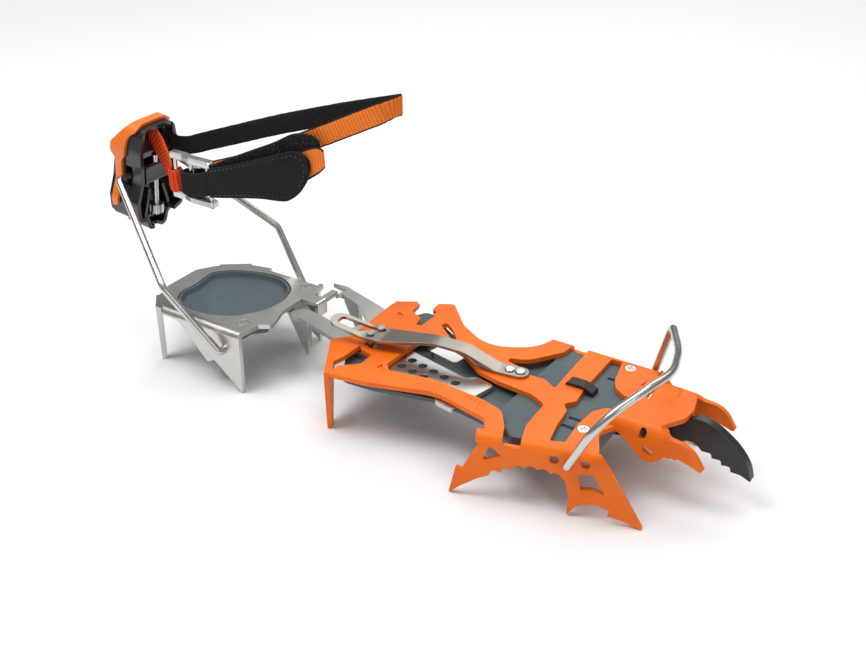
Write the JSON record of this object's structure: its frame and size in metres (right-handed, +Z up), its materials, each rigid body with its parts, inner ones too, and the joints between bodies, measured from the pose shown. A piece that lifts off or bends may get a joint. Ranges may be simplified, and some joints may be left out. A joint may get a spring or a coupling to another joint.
{
  "type": "ice crampon",
  "caption": "Step-in crampon with a stamped front frame, single serrated front point, sliding link, heel plate with lever, wire bails and an ankle strap.",
  "frame": {"origin": "bottom centre of the whole part's bounding box, level with the lowest point tips", "axes": "+X runs towards the toe and the front point, +Y to the outer side of a right foot, +Z up from the points' tips to the boot sole plane at 36 mm"},
  "size_m": [0.3651, 0.1064, 0.1654],
  "materials": {
    "orange_coat": "satin powder coat",
    "stainless": "fine brushed",
    "spring_steel": "satin, slightly warm",
    "wire_steel": "drawn and polished wire",
    "bright_steel": "plated",
    "black_steel": "satin black",
    "grey_rubber": "matte moulded",
    "black_rubber": "matte moulded",
    "black_plastic": "glossy moulded",
    "orange_plastic": "semi-gloss moulded",
    "orange_webbing": "woven, black edges and inner face",
    "red_webbing": "woven with small dark marks",
    "black_webbing": "woven",
    "hook_fabric": "fuzzy hook-and-loop face",
    "black_patch": "smooth coated patch"
  },
  "bodies": {
    "frame": {"front_frame": "orange_coat", "front_antiball_plate": "grey_rubber", "antiball_hook": "black_rubber", "toe_rivets": "bright_steel", "front_point": "black_steel", "point_cheek": "orange_coat", "point_bolts": "black_steel", "point_nuts": "bright_steel"},
    "latch": {"latch_spring": "spring_steel", "latch_pins": "bright_steel", "latch_rivets": "bright_steel"},
    "link": {"link_bar": "stainless"},
    "heel": {"heel_plate": "stainless", "heel_antiball_dish": "grey_rubber", "heel_rivets": "bright_steel"},
    "toe_bail_wire": {"toe_bail": "wire_steel"},
    "heel_bail_wire": {"heel_bail": "wire_steel"},
    "carriage": {"height_carriage": "black_plastic"},
    "lever": {"lever_body": "black_plastic", "lever_shell": "orange_plastic", "ankle_strap": "orange_webbing", "anchor_webbing": "red_webbing", "buckle_frame": "bright_steel", "buckle_bar": "bright_steel", "buckle_wrap": "black_webbing", "hook_band": "hook_fabric", "pull_tab": "black_patch", "strap_tail": "black_webbing"},
    "screw": {"height_screw": "bright_steel"}
  },
  "joints": [
    {"name": "length_adjust", "type": "slide", "parent": "frame", "child": "link", "axis": [0.9781, -0.2079, 0], "range_m": [-0.038, 0.0076]},
    {"name": "link_tilt", "type": "hinge", "parent": "link", "child": "heel", "pos_m": [-0.0711, 0.0142, 0.03175], "axis": [0, 1, 0], "range_deg": [-3, 3]},
    {"name": "latch_lift", "type": "hinge", "parent": "frame", "child": "latch", "pos_m": [0.06737, 0.00638, 0.0361], "axis": [-0.1547, 0.988, 0], "range_deg": [0, 5], "stiffness_Nm_per_rad": 4},
    {"name": "toe_bail_swing", "type": "hinge", "parent": "frame", "child": "toe_bail_wire", "pos_m": [0.1137, 0.0027, 0.0285], "axis": [0, 1, 0], "range_deg": [-30, 12]},
    {"name": "heel_bail_swing", "type": "hinge", "parent": "heel", "child": "heel_bail_wire", "pos_m": [-0.0908, -0.0043, 0.0233], "axis": [0, 1, 0], "range_deg": [-20, 35]},
    {"name": "lever_flip", "type": "hinge", "parent": "heel_bail_wire", "child": "carriage", "pos_m": [-0.1683, -0.0043, 0.098], "axis": [0, 1, 0], "range_deg": [-60, 5]},
    {"name": "height_adjust", "type": "slide", "parent": "carriage", "child": "lever", "axis": [0.1045, 0, 0.9945], "range_m": [-0.003, 0.003]},
    {"name": "screw_turn", "type": "hinge", "parent": "lever", "child": "screw", "pos_m": [-0.16313, -0.0043, 0.09746], "axis": [0.1045, 0, 0.9945], "range_deg": [-866, 866]}
  ],
  "couplings": [
    {"joint": "screw_turn", "follows": "height_adjust", "rad_per_m": 5026.5}
  ]
}
